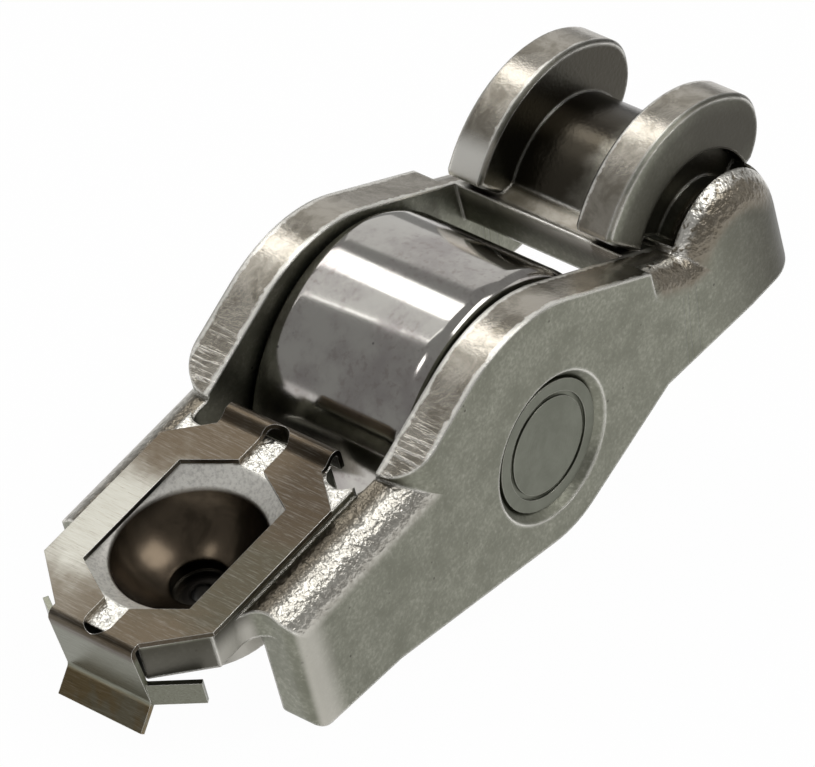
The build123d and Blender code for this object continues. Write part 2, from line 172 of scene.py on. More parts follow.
class Graph:
    """Pen for one node tree. Each call adds a node and hands back its output."""

    def __init__(self, tree: bpy.types.NodeTree) -> None:
        """Starts on a tree with no nodes."""
        self.tree = tree

    def node(self, kind: str, **settings: object) -> bpy.types.Node:
        """Adds a node of this kind with these properties set."""
        made = self.tree.nodes.new(kind)
        for key, setting in settings.items():
            setattr(made, key, setting)
        return made

    def feed(self, socket: Socket, value: Value) -> None:
        """Links an output to a socket, or sets the socket's own value."""
        if isinstance(value, bpy.types.NodeSocket):
            self.tree.links.new(value, socket)
        elif isinstance(value, tuple) and len(value) == 3 and socket.type == "RGBA":
            socket.default_value = (*value, 1.0)
        else:
            socket.default_value = value

    def math(self, operation: str, first: Value, second: Value = 0.0) -> Socket:
        """Arithmetic on one or two values.

        Args:
            operation: Name of the sum to do.
            first: Its first value.
            second: Its second value, where it takes one.

        Returns:
            Output with the result.
        """
        made = self.node("ShaderNodeMath", operation=operation)
        self.feed(made.inputs[0], first)
        self.feed(made.inputs[1], second)
        return made.outputs[0]

    def step(self, value: Value, low: float, high: float) -> Socket:
        """Soft step: 0 below low, 1 above high, and the other way round where low is the larger.

        Args:
            value: What is tested.
            low: Where the result is 0.
            high: Where the result is 1.

        Returns:
            Output between 0 and 1.
        """
        return self._carry(value, (low, high, 0.0, 1.0), "SMOOTHSTEP")

    def scale(self, value: Value, low: float, high: float) -> Socket:
        """Carries 0..1 to low..high."""
        return self._carry(value, (0.0, 1.0, low, high), "LINEAR")

    def _carry(self, value: Value, limits: tuple[float, float, float, float], kind: str) -> Socket:
        """Carries a value from between the first two limits to between the last two."""
        made = self.node("ShaderNodeMapRange", interpolation_type=kind, clamp=True)
        self.feed(made.inputs["Value"], value)
        for name, number in zip(("From Min", "From Max", "To Min", "To Max"), limits):
            made.inputs[name].default_value = number
        return made.outputs["Result"]

    def mix(self, factor: Value, first: Value, second: Value) -> Socket:
        """Blends two colours.

        Args:
            factor: Share of the second, 0 to 1.
            first: The first colour.
            second: The second colour.

        Returns:
            Output with the blend.
        """
        return self._blend("RGBA", factor, first, second)

    def between(self, factor: Value, first: Value, second: Value) -> Socket:
        """Blends two numbers."""
        return self._blend("FLOAT", factor, first, second)

    def _blend(self, kind: str, factor: Value, first: Value, second: Value) -> Socket:
        """Blends two values of one kind."""
        made = self.node("ShaderNodeMix", data_type=kind, clamp_factor=True)
        for name, value in (("Factor", factor), ("A", first), ("B", second)):
            self.feed(made.inputs[name], value)
        return made.outputs["Result"]

    def split(self, vector: Socket) -> tuple[Socket, Socket, Socket]:
        """The three parts of a vector."""
        made = self.node("ShaderNodeSeparateXYZ")
        self.feed(made.inputs[0], vector)
        return made.outputs[0], made.outputs[1], made.outputs[2]

    def stretch(self, vector: Socket, factors: Triple) -> Socket:
        """Multiplies each part of a vector by its factor."""
        made = self.node("ShaderNodeMapping", vector_type="POINT")
        self.feed(made.inputs["Vector"], vector)
        made.inputs["Scale"].default_value = factors
        return made.outputs[0]

    def noise(self, vector: Socket, kind: Noise) -> Socket:
        """Cloudy noise, about 0.5 in the middle.

        Args:
            vector: Place in millimetres.
            kind: Its settings.

        Returns:
            Output between 0 and 1.
        """
        made = self.node("ShaderNodeTexNoise")
        self.feed(made.inputs["Vector"], vector)
        numbers = (kind.scale, kind.detail, kind.roughness, kind.distortion)
        for name, number in zip(("Scale", "Detail", "Roughness", "Distortion"), numbers):
            made.inputs[name].default_value = number
        return made.outputs["Fac"]

    def specks(self, vector: Socket, scale: float) -> Socket:
        """Distance to the nearest of many scattered points, in cells of their grid."""
        made = self.node("ShaderNodeTexVoronoi", feature="F1")
        self.feed(made.inputs["Vector"], vector)
        made.inputs["Scale"].default_value = scale
        return made.outputs["Distance"]

    def product(self, *factors: Value) -> Socket:
        """Product of several values."""
        total = factors[0]
        for factor in factors[1:]:
            total = self.math("MULTIPLY", total, factor)
        return total

    def region(self, *steps: tuple[Value, Pair]) -> Socket:
        """Product of soft steps, each a value with its pair of limits."""
        return self.product(*(self.step(value, *limits) for value, limits in steps))

    def either(self, first: tuple[Value, Pair], second: tuple[Value, Pair]) -> Socket:
        """The larger of two soft steps."""
        return self.math("MAXIMUM", self.step(first[0], *first[1]), self.step(second[0], *second[1]))

    def distance(self, point: tuple[Socket, Socket], centre: Pair) -> Socket:
        """Distance in a plane: the root of the sum of both squared differences."""
        squares = []
        for at, middle in zip(point, centre):
            away = self.math("SUBTRACT", at, middle)
            squares.append(self.math("MULTIPLY", away, away))
        return self.math("SQRT", self.math("ADD", *squares))

    def bump(self, height: Socket, depth: float, strength: float, normal: Socket | None = None) -> Socket:
        """Normal of a surface with a relief.

        Args:
            height: Height of the relief.
            depth: How deep a height of 1 is, in millimetres.
            strength: How strongly the relief shows, 0 to 1.
            normal: The normal that it is laid on, if not the surface's own.

        Returns:
            Output with the normal.
        """
        made = self.node("ShaderNodeBump")
        made.inputs["Strength"].default_value = strength
        made.inputs["Distance"].default_value = depth * MM
        self.feed(made.inputs["Height"], height)
        if normal is not None:
            self.feed(made.inputs["Normal"], normal)
        return made.outputs[0]

    def group(self, tree: bpy.types.NodeTree, **values: Value) -> bpy.types.Node:
        """Places a node group and feeds its inputs by name."""
        made = self.node("ShaderNodeGroup", node_tree=tree)
        for name, value in values.items():
            self.feed(made.inputs[name.replace("_", " ")], value)
        return made


def new_group(name: str, inputs: dict[str, str],
              outputs: dict[str, str]) -> tuple[Graph, bpy.types.Node, bpy.types.Node]:
    """Makes an empty node group.

    Args:
        name: Name of the group.
        inputs: Socket names and kinds going in.
        outputs: Socket names and kinds coming out.

    Returns:
        The pen for its tree, its input node and its output node.
    """
    tree = bpy.data.node_groups.new(name, "ShaderNodeTree")
    for side, sockets in (("INPUT", inputs), ("OUTPUT", outputs)):
        for socket, kind in sockets.items():
            tree.interface.new_socket(name=socket, in_out=side, socket_type=kind)
    pen = Graph(tree)
    return pen, pen.node("NodeGroupInput"), pen.node("NodeGroupOutput")


@dataclass(frozen=True)
class EdgeWear:
    """Edges of sheared steel: a slightly rounded normal, and masks of outer edges and of hollows.

    The mask is read from how far the rounded normal turns from the flat one. Hollows, found by how much
    of the near surroundings the steel itself covers, are kept out of it. Reach is in millimetres.
    """

    bevel_samples: int = 4
    cover_samples: int = 2
    cover_reach: float = 0.6
    hollow: Pair = (0.85, 0.5)
    turned: Pair = (0.985, 0.9)
    uneven: Pair = (-0.04, 0.04)
    wander: Noise = Noise(2.2, 3.0, 0.6)

    def build(self) -> bpy.types.NodeTree:
        """Makes the node group.

        Returns:
            A group that takes Radius and Point and gives Mask, Normal and Hollow.
        """
        pen, given, out = new_group(
            "sheared edge", {"Radius": "NodeSocketFloat", "Point": "NodeSocketVector"},
            {"Mask": "NodeSocketFloat", "Normal": "NodeSocketVector", "Hollow": "NodeSocketFloat"})
        rounded = pen.node("ShaderNodeBevel", samples=self.bevel_samples)
        pen.feed(rounded.inputs["Radius"], given.outputs["Radius"])
        flat = pen.node("ShaderNodeNewGeometry")
        turn = pen.node("ShaderNodeVectorMath", operation="DOT_PRODUCT")
        pen.feed(turn.inputs[0], rounded.outputs[0])
        pen.feed(turn.inputs[1], flat.outputs["Normal"])
        rough = pen.noise(given.outputs["Point"], self.wander)
        bent = pen.math("ADD", turn.outputs["Value"], pen.scale(rough, *self.uneven))
        cover = pen.node("ShaderNodeAmbientOcclusion", samples=self.cover_samples, only_local=True)
        cover.inputs["Distance"].default_value = self.cover_reach * MM
        hollow = pen.step(cover.outputs["AO"], *self.hollow)
        outer = pen.math("SUBTRACT", 1.0, hollow)
        pen.feed(out.inputs["Mask"], pen.math("MULTIPLY", pen.step(bent, *self.turned), outer))
        pen.feed(out.inputs["Normal"], rounded.outputs[0])
        pen.feed(out.inputs["Hollow"], hollow)
        return pen.tree


@dataclass(frozen=True)
class Tumbled:
    """Tumbled steel: broad clouds, a fine grain on top of them, scattered dark specks and pebbles."""

    clouds: Noise = Noise(0.5, 5.0, 0.7, 0.3)
    grain: Noise = Noise(4.5, 3.0, 0.65)
    peel: Noise = Noise(3.2, 2.0, 0.55)
    speckled: Noise = Noise(0.9, 1.0, 0.5)
    speck_scale: float = 1.6
    speck_areas: Pair = (0.56, 0.66)
    speck_size: Pair = (0.16, 0.08)

    def build(self) -> bpy.types.NodeTree:
        """Makes the node group.

        Returns:
            A group that takes Point and gives Clouds, Grain, Specks and Peel.
        """
        pen, given, out = new_group(
            "tumbled grain", {"Point": "NodeSocketVector"},
            {"Clouds": "NodeSocketFloat", "Grain": "NodeSocketFloat", "Specks": "NodeSocketFloat",
             "Peel": "NodeSocketFloat"})
        point = given.outputs["Point"]
        pen.feed(out.inputs["Clouds"], pen.noise(point, self.clouds))
        pen.feed(out.inputs["Grain"], pen.noise(point, self.grain))
        few = pen.step(pen.noise(point, self.speckled), *self.speck_areas)
        specks = pen.step(pen.specks(point, self.speck_scale), *self.speck_size)
        pen.feed(out.inputs["Specks"], pen.math("MULTIPLY", specks, few))
        pen.feed(out.inputs["Peel"], pen.noise(point, self.peel))
        return pen.tree


@dataclass(frozen=True)
class Shared:
    """Node groups that several finishes use."""

    edge: bpy.types.NodeTree = field(default_factory=EdgeWear().build)
    grain: bpy.types.NodeTree = field(default_factory=Tumbled().build)


class Finish:
    """Start of every steel finish: a material with a metallic shader and the lever's own frame."""

    def __init__(self, name: str) -> None:
        """Makes the material, its shader and the coordinates in the lever's frame."""
        self.material = bpy.data.materials.new(name)
        self.material.use_nodes = True
        tree = self.material.node_tree
        tree.nodes.clear()
        self.pen = Graph(tree)
        self.shader = self.pen.node("ShaderNodeBsdfPrincipled")
        self.shader.inputs["Metallic"].default_value = 1.0
        ending = self.pen.node("ShaderNodeOutputMaterial")
        self.pen.feed(ending.inputs["Surface"], self.shader.outputs["BSDF"])
        self.point = self._turned("Object", LEVER.axle, 1 / MM)
        self.normal = self._turned("Normal", Vector((0.0, 0.0, 0.0)), 1.0)

    def _turned(self, output: str, origin: Vector, factor: float) -> Socket:
        """The coordinates of this output, times the factor, carried into the lever's frame."""
        coordinates = self.pen.node("ShaderNodeTexCoord")
        turned = self.pen.node("ShaderNodeMapping", vector_type="POINT")
        self.pen.feed(turned.inputs["Vector"], coordinates.outputs[output])
        turn = Matrix.Rotation(radians(LEVER.tilt), 3, "Y")
        turned.inputs["Scale"].default_value = (factor,) * 3
        turned.inputs["Rotation"].default_value = (0.0, radians(LEVER.tilt), 0.0)
        turned.inputs["Location"].default_value = -(turn @ origin)
        return turned.outputs[0]

    def finish(self, colour: Value, roughness: Value, normal: Socket) -> bpy.types.Material:
        """Feeds the shader and hands back the material."""
        self.pen.feed(self.shader.inputs["Base Color"], colour)
        self.pen.feed(self.shader.inputs["Roughness"], roughness)
        self.pen.feed(self.shader.inputs["Normal"], normal)
        return self.material


@dataclass(frozen=True)
class LeverRegions:
    """Where the lever's regions begin and end, in millimetres of its own frame.

    Each pair is a soft step, 0 at its first number and 1 at its second. Widths count from the middle
    plane, radii from the centre of the pad's arc, of the cup or of the axle. A pair that ends in _up or
    _lean is not a length but the part of the surface's normal that points up or sideways.
    """

    pad_centre: Pair = (15.0, 0.5)
    cup_centre: Pair = (-17.65, 0.0)
    nose_x: Pair = (-19.4, -19.9)
    nose_z: Pair = (6.15, 5.9)
    heel_shade_x: Pair = (12.0, 18.5)
    ear_width: Pair = (5.45, 5.36)
    ear_inner: Pair = (5.0, 4.8)
    ear_root_radius: Pair = (7.3, 6.3)
    ear_x: Pair = (8.4, 8.8)
    ear_z: Pair = (1.5, 3.0)
    well_width: Pair = (5.7, 5.4)
    well_x: Pair = (8.4, 7.9)
    well_z: Pair = (5.5, 3.0)
    edge_lean: Pair = (0.45, 0.25)
    wall_width: Pair = (5.3, 5.45)
    wall_front_x: Pair = (-9.8, -9.5)
    wall_rear_x: Pair = (12.4, 11.0)
    rim_radius: Pair = (5.6, 6.2)
    rim_width: Pair = (5.6, 5.4)
    streak_x: Pair = (-5.0, -8.5)
    far_foot_y: Pair = (2.9, 3.1)
    far_foot_x: Pair = (11.2, 10.0)
    burr_wander: Pair = (-0.3, 0.3)
    wall_burr_in: Pair = (5.78, 5.6)
    wall_burr_out: Pair = (7.42, 7.6)
    ear_burr_in: Pair = (3.42, 3.25)
    ear_burr_out: Pair = (5.12, 5.3)
    staked_radius: Pair = (4.3, 4.6)
    shoulder_up: Pair = (0.02, 0.3)
    shoulder_width: Pair = (5.2, 5.5)
    leg_x: Pair = (-6.5, -8.5)
    leg_crest_width: Pair = (6.1, 6.7)
    heel_x: Pair = (9.0, 10.0)
    ridge_outer: Pair = (7.15, 6.75)
    ridge_inner: Pair = (6.2, 6.5)
    pad_width: Pair = (3.15, 3.0)
    pad_x: Pair = (10.7, 11.3)
    pad_up: Pair = (-0.2, 0.1)
    pad_wander: Pair = (-1.5, 1.5)
    pad_highlight_y: Pair = (-0.2, -2.6)
    strip_width: Pair = (5.45, 5.3)
    strip_x: Pair = (9.5, 9.6)
    strip_end: Pair = (11.3, 10.7)
    strip_up: Pair = (0.3, 0.7)
    web_up: Pair = (0.8, 0.95)
    web_x: Pair = (-9.8, -10.2)
    web_width: Pair = (5.4, 5.2)
    web_z: Pair = (5.8, 6.0)
    corner_lean: Pair = (0.6, 0.9)
    corner_x: Pair = (-16.7, -18.2)
    corner_z: Pair = (6.0, 4.5)
    socket_floor_z: Pair = (0.6, 1.0)
    socket_top_z: Pair = (6.25, 6.1)
    cup_radius: Pair = (4.12, 3.97)
    band_outer: Pair = (5.12, 5.0)
    band_inner: Pair = (3.92, 4.02)
    band_z: Pair = (4.2, 4.5)
    hole_radius: Pair = (1.62, 1.5)
    hole_top_z: Pair = (2.9, 2.6)
    hole_floor_z: Pair = (0.7, 0.8)


@dataclass(frozen=True)
class ToolMarks:
    """Three faint stamped lines low on the sides, below the heel's shoulders, in millimetres."""

    places: tuple[float, ...] = (0.0, 0.4, 1.05)
    start: Pair = (11.0, 0.75)
    slant: float = 0.168
    line: Pair = (0.09, 0.0)
    top_z: Pair = (0.9, 0.5)
    foot_z: Pair = (-3.6, -3.1)
    lean: Pair = (0.9, 0.98)

    def depth(self, at: "LeverPoint") -> Socket:
        """Depth of the lines at this point, 0 to 1."""
        pen = at.pen
        drift = pen.math("MULTIPLY", pen.math("SUBTRACT", at.z, self.start[1]), self.slant)
        along = pen.math("SUBTRACT", pen.math("SUBTRACT", at.x, self.start[0]), drift)
        lines = None
        for place in self.places:
            line = pen.step(pen.math("ABSOLUTE", pen.math("SUBTRACT", along, place)), *self.line)
            lines = line if lines is None else pen.math("MAXIMUM", lines, line)
        return pen.product(lines, pen.region((at.z, self.top_z), (at.z, self.foot_z), (at.lean, self.lean)))


class LeverPoint:
    """What the lever's material knows of a point: its place, how it faces, and the noises there."""

    edge_radius: float = 0.26
    shear_stretch: Triple = (6.0, 0.6, 6.0)
    shear_noise: Noise = Noise(1.0, 3.0, 0.6)
    broad_noise: Noise = Noise(0.55, 4.0, 0.65, 0.5)
    torn_noise: Noise = Noise(1.3, 4.0, 0.7)

    def __init__(self, steel: Finish, shared: Shared) -> None:
        """Adds the nodes that the regions read to the material's start."""
        pen = steel.pen
        self.pen = pen
        self.x, self.y, self.z = pen.split(steel.point)
        _, sideways, self.up = pen.split(steel.normal)
        self.off, self.lean = pen.math("ABSOLUTE", self.y), pen.math("ABSOLUTE", sideways)
        grain = pen.group(shared.grain, Point=steel.point)
        self.clouds, self.fine = grain.outputs["Clouds"], grain.outputs["Grain"]
        self.specks, self.peel = grain.outputs["Specks"], grain.outputs["Peel"]
        edge = pen.group(shared.edge, Radius=self.edge_radius * MM, Point=steel.point)
        self.outer_edge, self.hollow = edge.outputs["Mask"], edge.outputs["Hollow"]
        self.eased_normal = edge.outputs["Normal"]
        self.shear = pen.noise(pen.stretch(steel.point, self.shear_stretch), self.shear_noise)
        self.broad = pen.noise(steel.point, self.broad_noise)
        self.torn = pen.noise(steel.point, self.torn_noise)


class LeverMasks:
    """Masks of the lever's regions, each 0 outside and 1 inside."""

    streaked: Pair = (0.5, 0.62)

    def __init__(self, at: LeverPoint, to: LeverRegions) -> None:
        """Works out every mask from where the point lies and how it faces."""
        pen, x, z, off = at.pen, at.x, at.z, at.off
        from_pad = pen.distance((x, z), to.pad_centre)
        from_cup = pen.distance((x, at.y), to.cup_centre)
        from_axle = pen.distance((x, z), (0.0, 0.0))

        # Painted shade: the front end below the clip is darkened where its shadow falls, and so are the heel
        # and the outer ear feet below the crease.
        self.nose_shade = pen.region((x, to.nose_x), (z, to.nose_z))
        self.heel_shade = pen.region((x, to.heel_shade_x))
        shaded = pen.either((off, to.ear_inner), (from_pad, to.ear_root_radius))
        self.ear_shade = pen.product(pen.region((off, to.ear_width), (x, to.ear_x), (z, to.ear_z)), shaded)
        # Painted shade in the dark front end of the groove beside the ears.
        self.well_shade = pen.region((off, to.well_width), (x, to.well_x), (z, to.well_z))

        turned_up = (at.lean, to.edge_lean)
        over_wall = pen.region(turned_up, (off, to.wall_width), (x, to.wall_front_x), (x, to.wall_rear_x))
        rim = pen.region(turned_up, (from_pad, to.rim_radius), (x, to.ear_x), (off, to.rim_width))
        self.cut = pen.math("MAXIMUM", over_wall, rim)
        self.streak = pen.region((at.shear, self.streaked), (x, to.streak_x))
        # Painted highlight on the far ear's foot.
        self.far_foot_highlight = pen.product(rim, pen.region((at.y, to.far_foot_y), (x, to.far_foot_x)))
        # Bright ragged lines along the inner and outer edges of the walls' tops and the ears' rims: partly
        # burrs, partly a painted highlight on the rolled edges.
        ragged = pen.math("ADD", off, pen.scale(at.torn, *to.burr_wander))
        wall_burr = pen.product(over_wall, pen.either((ragged, to.wall_burr_in), (ragged, to.wall_burr_out)))
        ear_burr = pen.product(rim, pen.either((ragged, to.ear_burr_in), (ragged, to.ear_burr_out)))
        self.burr_and_highlight = pen.math("MAXIMUM", wall_burr, ear_burr)

        folded = pen.region((at.up, to.shoulder_up), (off, to.shoulder_width), (from_axle, to.staked_radius))
        self.rounded = pen.product(folded, pen.math("SUBTRACT", 1.0, self.cut))
        self.leg = pen.product(self.rounded, pen.region((x, to.leg_x)))
        self.leg_crest_highlight = pen.region((off, to.leg_crest_width))
        self.heel = pen.product(self.rounded, pen.region((x, to.heel_x)))
        # Painted highlight along the heel's shoulder ridge.
        self.ridge_highlight = pen.product(self.heel, pen.region((off, to.ridge_outer), (off, to.ridge_inner)))
        # Painted highlight on the rounded front corners of the legs.
        self.corner = pen.region((at.lean, to.corner_lean), (x, to.corner_x), (z, to.corner_z))

        self.pad = pen.region((off, to.pad_width), (x, to.pad_x), (at.up, to.pad_up))
        # Painted highlight on the pad's near half; its far half takes painted shade.
        wander = pen.math("ADD", at.y, pen.scale(at.broad, *to.pad_wander))
        self.pad_highlight = pen.region((wander, to.pad_highlight_y))
        self.strip = pen.region((off, to.strip_width), (x, to.strip_x), (x, to.strip_end),
                                (at.up, to.strip_up))
        self.web = pen.region((at.up, to.web_up), (x, to.web_x), (off, to.web_width), (z, to.web_z))

        self.cup = pen.region((from_cup, to.cup_radius), (z, to.socket_floor_z), (z, to.socket_top_z))
        # Light grainy band round the cup's mouth: the coined ring's own light tone, brightened further as a
        # painted highlight.
        self.band = pen.region((from_cup, to.band_outer), (from_cup, to.band_inner), (z, to.band_z))
        # The hole in the cup's floor is painted black: painted shade.
        self.hole = pen.region((from_cup, to.hole_radius), (z, to.hole_top_z), (z, to.hole_floor_z))
        dull = pen.math("SUBTRACT", 1.0, pen.math("MAXIMUM", self.cup, self.band))
        # Outer edges, painted bright: partly worn steel and partly a painted highlight on the rounded edges.
        # The cup and its band are left out.
        self.worn_and_highlit = pen.product(at.outer_edge, dull)
        # Painted shade in hollows and inner corners, found by how much of the near surroundings the steel
        # covers; the band round the cup's mouth is left out.
        self.hollow_shade = pen.product(at.hollow, pen.math("SUBTRACT", 1.0, self.band))


@dataclass(frozen=True)
class LeverStrengths:
    """How strongly each mark covers what lies under it, 0 to 1, with the noise values where it sets in."""

    clouds: Pair = (0.3, 0.68)
    dark_grain: float = 0.6
    dark_grain_from: Pair = (0.6, 0.38)
    light_grain: float = 0.2
    light_grain_from: Pair = (0.55, 0.75)
    heel_shade: float = 0.76
    nose_shade: float = 0.85
    ear_shade: float = 0.66
    well_shade: float = 0.6
    specks: float = 0.8
    brown: Pair = (0.36, 0.6)
    streak: float = 0.4
    burr_and_highlight: float = 0.85
    pebbles: Pair = (0.35, 0.65)
    heel_pebbles: Pair = (0.35, 0.6)
    ridge_highlight: float = 0.7
    ridge_from: Pair = (0.35, 0.5)
    web_grain: Pair = (0.4, 0.62)
    band_grain: Pair = (0.3, 0.6)
    cup_clouds: Pair = (0.35, 0.65)
    corner: float = 0.75
    worn_and_highlit: float = 0.95
    hollow_shade_amount: float = 0.6


@dataclass(frozen=True)
class LeverTouch:
    """Roughness of the lever's regions, and the height of its relief."""

    side: float = 0.4
    cut: float = 0.22
    web: float = 0.3
    band: float = 0.5
    rounded: float = 0.3
    cup: float = 0.26
    burr_and_highlight: float = 0.42
    worn_and_highlit: float = 0.2
    relief_depth: float = 0.05
    relief_strength: float = 0.8
    grain_height: float = 0.35
    cup_grain_height: float = 0.06
    streak_height: float = 0.6
    pebble_height: float = 2.4


@dataclass(frozen=True)
class LeverSteel:
    """Tumbled lever: satin sides with painted shade, brown cut edges, grainy shoulders with painted
    highlights, a dark polished cup.
    """

    satin: Colour = (0.275, 0.277, 0.225)
    dull: Colour = (0.175, 0.177, 0.138)
    # Near black: the colour of the dark specks, and also of the painted shade at the heel, the nose, the ear
    # feet, the well and in the hollows.
    speck_and_shade: Colour = (0.05, 0.045, 0.035)
    cut: Colour = (0.42, 0.39, 0.335)
    cut_dark: Colour = (0.27, 0.245, 0.2)
    # Bright steel: the streaks, and also the painted highlights on edges, burr lines, the far ear's foot and
    # the heel's ridge.
    bright: Colour = (0.9, 0.88, 0.82)
    # Light steel of the light grain, also the colour of the painted highlights on the legs' crests and front
    # corners.
    shoulder: Colour = (0.55, 0.53, 0.475)
    shoulder_dark: Colour = (0.2, 0.175, 0.135)
    shoulder_mid: Colour = (0.4, 0.38, 0.335)
    heel: Colour = (0.22, 0.195, 0.155)
    pad: Colour = (0.3, 0.285, 0.24)
    pad_shade: Colour = (0.055, 0.048, 0.036)
    web: Colour = (0.85, 0.83, 0.77)
    web_dark: Colour = (0.68, 0.66, 0.61)
    cup: Colour = (0.1, 0.078, 0.055)
    cup_dark: Colour = (0.055, 0.043, 0.03)
    # Near black of the cup's hole: painted shade.
    hole: Colour = (0.008, 0.007, 0.006)
    limits: LeverRegions = LeverRegions()
    amount: LeverStrengths = LeverStrengths()
    touch: LeverTouch = LeverTouch()
    marks: ToolMarks = ToolMarks()

    def build(self, shared: Shared) -> bpy.types.Material:
        """Makes the material, region by region from where a point lies and how it faces.

        Args:
            shared: The shared node groups.

        Returns:
            The material.
        """
        steel = Finish("lever steel")
        at = LeverPoint(steel, shared)
        mask = LeverMasks(at, self.limits)
        brown = self.cut_colour(at, mask)
        colour = at.pen.mix(mask.cut, self.side_colour(at, mask), brown)
        colour = self.with_shoulders(at, mask, colour)
        colour = self.with_pad(at, mask, colour, brown)
        colour = self.with_socket(at, mask, colour)
        # Bright outer edges: wear and painted highlight.
        colour = at.pen.mix(at.pen.product(mask.worn_and_highlit, self.amount.worn_and_highlit), colour, self.bright)
        # Painted shade in the hollows.
        colour = at.pen.mix(at.pen.product(mask.hollow_shade, self.amount.hollow_shade_amount), colour, self.speck_and_shade)
        return steel.finish(colour, self.roughness(at, mask), self.relief(at, mask))

    def side_colour(self, at: LeverPoint, mask: LeverMasks) -> Socket:
        """Satin sides with clouds, a fine grain and a few dark specks, with painted shade at the heel, below
        the clip's front end, at the ears' feet and in the groove before them.
        """
        pen, amount = at.pen, self.amount
        colour = pen.mix(pen.step(at.clouds, *amount.clouds), self.dull, self.satin)
        dark = pen.math("MULTIPLY", pen.step(at.fine, *amount.dark_grain_from), amount.dark_grain)
        colour = pen.mix(dark, colour, self.dull)
        light = pen.math("MULTIPLY", pen.step(at.fine, *amount.light_grain_from), amount.light_grain)
        colour = pen.mix(light, colour, self.shoulder)
        shade = pen.math("MAXIMUM", pen.product(mask.heel_shade, amount.heel_shade),
                         pen.product(mask.nose_shade, amount.nose_shade))
        colour = pen.mix(shade, colour, self.speck_and_shade)
        colour = pen.mix(pen.product(mask.ear_shade, amount.ear_shade), colour, self.speck_and_shade)
        colour = pen.mix(pen.product(mask.well_shade, amount.well_shade), colour, self.speck_and_shade)
        return pen.mix(pen.math("MULTIPLY", at.specks, amount.specks), colour, self.speck_and_shade)

    def cut_colour(self, at: LeverPoint, mask: LeverMasks) -> Socket:
        """Brown of the cut edges and ear rims, streaked at the legs' end, with bright ragged lines that are
        partly burrs and partly painted highlight, and a painted highlight on the far ear's foot.
        """
        pen, amount = at.pen, self.amount
        brown = pen.mix(pen.step(at.broad, *amount.brown), self.cut_dark, self.cut)
        brown = pen.mix(pen.product(mask.streak, amount.streak), brown, self.bright)
        brown = pen.mix(mask.far_foot_highlight, brown, self.bright)
        return pen.mix(pen.product(mask.burr_and_highlight, amount.burr_and_highlight), brown, self.bright)

    def with_shoulders(self, at: LeverPoint, mask: LeverMasks, colour: Socket) -> Socket:
        """Shoulders: dark brown and pebbled next to the fold, with a painted highlight along their crest."""
        pen, amount = at.pen, self.amount
        pebbles = pen.mix(pen.step(at.peel, *amount.pebbles), self.shoulder_mid, self.shoulder)
        # Leg shoulders: dark brown next to the fold, and a pebbled painted highlight along the crest.
        colour = pen.mix(mask.leg, colour, pen.mix(mask.leg_crest_highlight, self.shoulder_dark, pebbles))
        heel = pen.mix(pen.step(at.peel, *amount.heel_pebbles), self.shoulder_dark, self.heel)
        colour = pen.mix(mask.heel, colour, heel)
        ridge_highlight = pen.product(mask.ridge_highlight, pen.step(at.peel, *amount.ridge_from), amount.ridge_highlight)
        return pen.mix(ridge_highlight, colour, self.bright)

    def with_pad(self, at: LeverPoint, mask: LeverMasks, colour: Socket, brown: Socket) -> Socket:
        """Pad and strip between the ears, the pad with a painted highlight on its near half and painted shade
        on its far half, the flat web under the clip and a painted highlight on the legs' front corners.
        """
        pen, amount = at.pen, self.amount
        colour = pen.mix(mask.strip, colour, brown)
        colour = pen.mix(mask.pad, colour, pen.mix(mask.pad_highlight, self.pad_shade, self.pad))
        web = pen.mix(pen.step(at.fine, *amount.web_grain), self.shoulder, self.web)
        colour = pen.mix(mask.web, colour, web)
        # Painted highlight on the legs' front corners.
        return pen.mix(pen.product(mask.corner, amount.corner), colour, self.shoulder)

    def with_socket(self, at: LeverPoint, mask: LeverMasks, colour: Socket) -> Socket:
        """Cup: dark and brown inside, with a light grainy band round its mouth, partly painted highlight, and
        a hole painted black as shade.
        """
        pen, amount = at.pen, self.amount
        # Band round the mouth: partly painted highlight.
        band = pen.mix(pen.step(at.fine, *amount.band_grain), self.web_dark, self.bright)
        colour = pen.mix(mask.band, colour, band)
        cup = pen.mix(pen.step(at.broad, *amount.cup_clouds), self.cup_dark, self.cup)
        colour = pen.mix(mask.cup, colour, cup)
        return pen.mix(mask.hole, colour, self.hole)

    def roughness(self, at: LeverPoint, mask: LeverMasks) -> Socket:
        """Roughness, set region over region."""
        pen, touch = at.pen, self.touch
        rough = pen.between(pen.math("MAXIMUM", mask.cut, mask.pad), touch.side, touch.cut)
        torn = pen.math("MAXIMUM", mask.burr_and_highlight, mask.far_foot_highlight)
        for region, value in ((mask.web, touch.web), (mask.band, touch.band), (mask.rounded, touch.rounded),
                              (mask.cup, touch.cup), (torn, touch.burr_and_highlight), (mask.worn_and_highlit, touch.worn_and_highlit)):
            rough = pen.between(region, rough, value)
        return rough

    def relief(self, at: LeverPoint, mask: LeverMasks) -> Socket:
        """Normal with the fine grain, the sheared streaks, the pebbles and the tool marks."""
        pen, touch = at.pen, self.touch
        grain = pen.product(at.fine, pen.between(mask.cup, touch.grain_height, touch.cup_grain_height))
        streaks = pen.product(at.shear, mask.streak, mask.cut, touch.streak_height)
        pebbles = pen.product(pen.math("MAXIMUM", mask.rounded, mask.web), at.peel, touch.pebble_height)
        height = pen.math("ADD", pen.math("ADD", grain, streaks), pebbles)
        height = pen.math("SUBTRACT", height, self.marks.depth(at))
        return pen.bump(height, touch.relief_depth, touch.relief_strength, at.eased_normal)


